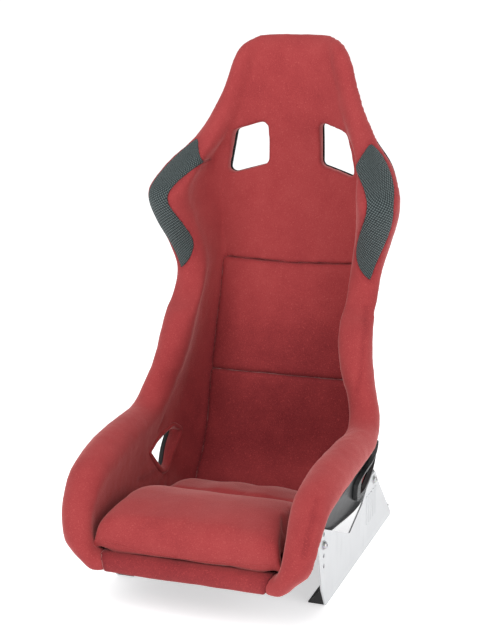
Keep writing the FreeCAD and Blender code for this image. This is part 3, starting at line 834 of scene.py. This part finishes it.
def blowUp(piece, facts):
    start = points(piece)
    fabric = piece.modifiers.new("cloth", "CLOTH")
    fabric.settings.use_pressure = True
    fabric.settings.uniform_pressure_force = facts["pressure"]
    fabric.settings.effector_weights.gravity = 0.0
    fabric.settings.quality = cloth["quality"]
    fabric.settings.tension_stiffness = cloth["stiffness"]
    fabric.settings.compression_stiffness = cloth["stiffness"]
    fabric.point_cache.frame_start = 1
    fabric.point_cache.frame_end = cloth["frames"]
    for moment in range(1, cloth["frames"] + 1):
        scene.frame_set(moment)
    bake(piece)
    scene.frame_set(1)
    step = points(piece) - start
    length = np.linalg.norm(step, axis=1)
    step *= np.minimum(1.0, facts["cap"] / np.maximum(length, 1e-9))[:, None]
    low, high = (np.array(corner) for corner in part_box(facts["node"]))
    move(piece, np.clip(start + step, low - np.array(facts["roomLow"]), high + np.array(facts["roomHigh"])))


def makeCushion(name):
    facts = cushions[name]
    piece = newPiece(name, merged([facts["node"]], -facts["shrink"]), "velour")
    addRemesh(piece, cushionForm["voxel"])
    bake(piece)
    where = points(piece)
    squareCorners(where, facts["square"])
    where[:, 0] *= facts["widen"]
    if facts["drop"]:
        hangFront(where, facts["drop"])
    move(piece, where)
    addSmooth(piece, cushionForm["relax"])
    bake(piece)
    blowUp(piece, facts)
    addSubdivision(piece)
    bake(piece)
    shadeSmooth(piece)
    soften(piece, *facts["wave"])
    gaps = np.full(len(piece.data.vertices), 1.0)
    writeSeam(piece, pressCreases(piece, facts["creases"], cushionForm["creaseWidth"],
                                  cushionForm["creaseEdge"], gaps))
    settle(piece, [facts["node"]])
    return piece


thighCushion = makeCushion("thighCushion")
rearCushion = makeCushion("rearCushion")
print("cushions made")


# One cover over head, shoulders and bolsters

cover = {
    "nodes": ["head_pad", "upper_back_pad", "bolster_left", "bolster_right"],
    "seams": ["middle_back_pad", "lower_back_pad", "shoulder_mesh_left", "shoulder_mesh_right"],
    "swell": -0.0002,
    "voxel": 0.0046,
    "relax": 5,
    "headFrom": 0.935,                        # above this z the corners of the head are evened
    "headTimes": 12,
    "thighGap": (0.0012, 0.012),              # gap to the cushion, and the deepest dent
    "rearGap": (0.0010, 0.010),
    "reach": 0.004,                           # how far round a cushion its dents go
    "waves": [(0.0010, 22.0, 3.0), (0.0005, 70.0, 9.0)],
    "creases": [                              # depth and pixels
        (0.0020, [(317, 500), (312, 520), (307, 540), (304, 556)]),
        (0.0010, [(366, 307), (364, 340), (361, 370), (357, 392)]),
        (0.0016, [(164, 417), (161, 425), (158, 431)]),
        (0.0014, [(165, 475), (158, 486), (150, 494)]),
        (0.0014, [(168, 476), (166, 489), (160, 500)]),
        (0.0012, [(159, 470), (149, 476), (139, 480)]),
    ],
    "creaseWidth": 0.0055,
    "creaseEdge": 0.0012,
    "fill": 0.9,
}
lapOpening = {                                # the cloth that folds in round each lap belt opening
    "corners": [(-0.086, 0.198), (-0.034, 0.142), (-0.006, 0.142), (0.056, 0.200), (0.028, 0.217)],  # y, z
    "cornerStep": 0.02,
    "cuts": 2,
    "step": 0.004,
    "feel": 0.007,                            # how far outside the outline the surfaces are felt for
    "far": 0.5,
    "faceX": 0.178,                           # where no surface is met
    "shellX": 0.205,
    "neighbours": 4,
    "rings": [                                # growth of the outline, depth, share of the way to the shell
        (0.0085, 0.0016, 0.0),
        (0.0060, -0.0016, 0.0),
        (0.0030, -0.0030, 0.0),
        (0.0000, -0.0016, 0.0),
        (-0.0010, 0.0022, 0.0),
        (-0.0010, 0.0, 0.5),
        (-0.0010, 0.0, 1.0),
    ],
    "leastWay": 0.004,
    "cloth": 0.0012,
}


def between(start, end, share):
    return start[0] * (1.0 - share) + end[0] * share, start[1] * (1.0 - share) + end[1] * share


def cutCorners(path, times):                 # rounds a closed outline off
    for _ in range(times):
        rounder = []
        for start, end in zip(path, path[1:] + path[:1]):
            rounder.append(between(start, end, 0.25))
            rounder.append(between(start, end, 0.75))
        path = rounder
    return path


def denser(path, step):                      # more points on the same closed outline
    out = []
    for start, end in zip(path, path[1:] + path[:1]):
        count = max(1, round(math.dist(start, end) / step))
        for index in range(count):
            out.append(between(start, end, index / count))
    return out


def evened(values):                          # each value as the mean of its neighbours in a ring
    count = len(values)
    near = range(-lapOpening["neighbours"], lapOpening["neighbours"] + 1)
    return [float(np.mean([values[(index + offset) % count] for offset in near])) for index in range(count)]


def pushedOut(spot, centre, growth):
    away = np.array(spot) - centre
    return centre + away * (1.0 + growth / np.linalg.norm(away))


def feltX(tree, start, heading, missing):    # how far out the first surface on the way lies
    place = tree.ray_cast(Vector(start), Vector(heading))[0]
    return missing if place is None else abs(place.x)


def makeSleeve(side, outline, centre, faceX, shellX):
    sleeve = bmesh.new()
    rings = []
    for growth, sink, share in lapOpening["rings"]:
        ring = []
        for spot, inside, outside in zip(outline, faceX, shellX):
            y, z = pushedOut(spot, centre, growth)
            x = inside + sink + max(outside - inside, lapOpening["leastWay"]) * share
            ring.append(sleeve.verts.new((side * x, y, z)))
        rings.append(ring)
    for inner, outer in zip(rings, rings[1:]):
        for index in range(len(inner)):
            following = (index + 1) % len(inner)
            sleeve.faces.new((inner[index], inner[following], outer[following], outer[index]))
    bmesh.ops.recalc_face_normals(sleeve, faces=sleeve.faces)
    bmesh.ops.solidify(sleeve, geom=sleeve.faces[:], thickness=lapOpening["cloth"])
    return sleeve


def addSleeves(piece):
    coverTree = treeOfPiece(piece)
    shellTree = treeOf(merged(["seat_shell"]))
    outline = denser(cutCorners(denser(lapOpening["corners"], lapOpening["cornerStep"]), lapOpening["cuts"]),
                     lapOpening["step"])
    centre = np.mean(outline, axis=0)
    whole = bmesh.new()
    whole.from_mesh(piece.data)
    for side in (-1.0, 1.0):
        faceX = []
        shellX = []
        for spot in outline:
            y, z = pushedOut(spot, centre, lapOpening["feel"])
            faceX.append(feltX(coverTree, (0.0, y, z), (side, 0.0, 0.0), lapOpening["faceX"]))
            shellX.append(feltX(shellTree, (side * lapOpening["far"], y, z), (-side, 0.0, 0.0),
                                lapOpening["shellX"]))
        addMesh(whole, makeSleeve(side, outline, centre, evened(faceX), evened(shellX)))
    whole.to_mesh(piece.data)
    whole.free()
    piece.data.update()


def keepClear(piece, other, gap, most):      # dents a piece where another one presses on it
    tree = treeOfPiece(other)
    where = points(piece)
    low = points(other).min(0) - cover["reach"]
    high = points(other).max(0) + cover["reach"]
    near = np.where(((where > low) & (where < high)).all(1))[0]
    push = np.zeros(len(where))
    away = np.zeros_like(where)
    for index in near:
        place, normal, _, distance = tree.find_nearest(Vector(where[index]))
        signed = (Vector(where[index]) - place).dot(normal)
        depth = gap - (distance if signed > 0 else -distance)
        if depth > 0:
            push[index] = min(depth, most)
            away[index] = normal
    move(piece, where + away * push[:, None])


def roundHead(piece, start, times):          # evens the corners at the top of the head
    mesh = bmesh.new()
    mesh.from_mesh(piece.data)
    chosen = [vert for vert in mesh.verts if vert.co.z > start]
    for _ in range(times):
        bmesh.ops.smooth_vert(mesh, verts=chosen, factor=0.5, use_axis_x=True, use_axis_y=False,
                              use_axis_z=True)
    mesh.to_mesh(piece.data)
    mesh.free()


def makeCover():
    piece = newPiece("seatCover", merged(cover["nodes"], cover["swell"]), "velour")
    addRemesh(piece, cover["voxel"])
    addSmooth(piece, cover["relax"])
    bake(piece)
    roundHead(piece, cover["headFrom"], cover["headTimes"])
    keepClear(piece, thighCushion, *cover["thighGap"])
    keepClear(piece, rearCushion, *cover["rearGap"])
    addSleeves(piece)
    shadeSmooth(piece)
    for wave in cover["waves"]:
        soften(piece, *wave)
    gaps = surfaceGap(piece, cover["seams"])
    writeSeam(piece, pressCreases(piece, cover["creases"], cover["creaseWidth"], cover["creaseEdge"], gaps))
    settle(piece, cover["nodes"])
    print("cover made,", len(piece.data.polygons), "faces")


makeCover()


# Mesh inserts on the shoulders, with a map that rolls round the bolster's axis

insert = {
    "voxel": 0.0017,
    "relax": 3,
    "heights": [0.49, 0.59, 0.65, 0.70, 0.75, 0.79],
    "axisX": [0.181, 0.193, 0.208, 0.212, 0.19, 0.16],
    "axisY": [0.100, 0.108, 0.088, 0.078, 0.125, 0.16],
    "radius": 0.042,
    "fill": 0.9,
}


def makeInsert(side, sign):
    node = "shoulder_mesh_" + side
    piece = newPiece("meshInsert" + side.capitalize(), merged([node]), "mesh")
    addRemesh(piece, insert["voxel"])
    addSmooth(piece, insert["relax"])
    bake(piece)
    shadeSmooth(piece)
    where = points(piece)
    height = where[:, 2]
    axisX = np.interp(height, insert["heights"], insert["axisX"])
    axisY = np.interp(height, insert["heights"], insert["axisY"])
    around = np.arctan2(where[:, 1] - axisY, sign * where[:, 0] - axisX) * insert["radius"]
    layer = piece.data.uv_layers.new(name="weave")
    corners = np.empty(len(piece.data.loops), np.int32)
    piece.data.loops.foreach_get("vertex_index", corners)
    flat = np.stack([around[corners], height[corners]], axis=1)
    layer.data.foreach_set("uv", flat.ravel().astype(np.float32))
    settle(piece, [node])


makeInsert("left", -1.0)
makeInsert("right", 1.0)
print("mesh inserts made")


# Welt along the front of the thigh cushion

welt = {
    "radius": 0.0011,
    "rounds": 3,
    "between": 6,                             # path points from one spot to the next
    "spots": [(104, 540), (120, 545), (135, 549), (160, 554), (185, 558), (210, 561), (235, 563), (256, 565),
              (268, 565)],                    # pixels
}


def makeWelt():
    found = seenOn(thighCushion, welt["spots"])
    print("welt points found", len(found))
    if len(found) < 3:
        return
    path = smoothPath(found, welt["between"])
    curve = bpy.data.curves.new("cushionWelt", "CURVE")
    curve.dimensions = "3D"
    curve.bevel_depth = welt["radius"]
    curve.bevel_resolution = welt["rounds"]
    curve.use_fill_caps = True
    spline = curve.splines.new("POLY")
    spline.points.add(len(path) - 1)
    for point, place in zip(spline.points, path):
        point.co = (*place, 1.0)
    holder = bpy.data.objects.new("weltLine", curve)
    scene.collection.objects.link(holder)
    graph = bpy.context.evaluated_depsgraph_get()
    data = bpy.data.meshes.new_from_object(holder.evaluated_get(graph))
    bpy.data.objects.remove(holder)
    piece = bpy.data.objects.new("cushionWelt", data)
    scene.collection.objects.link(piece)
    data.materials.clear()
    data.materials.append(finishes["velour"])
    shadeSmooth(piece)
    writeSeam(piece, np.full(len(data.vertices), 1.0))
    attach(piece, rootBody)


makeWelt()
print("welt made")
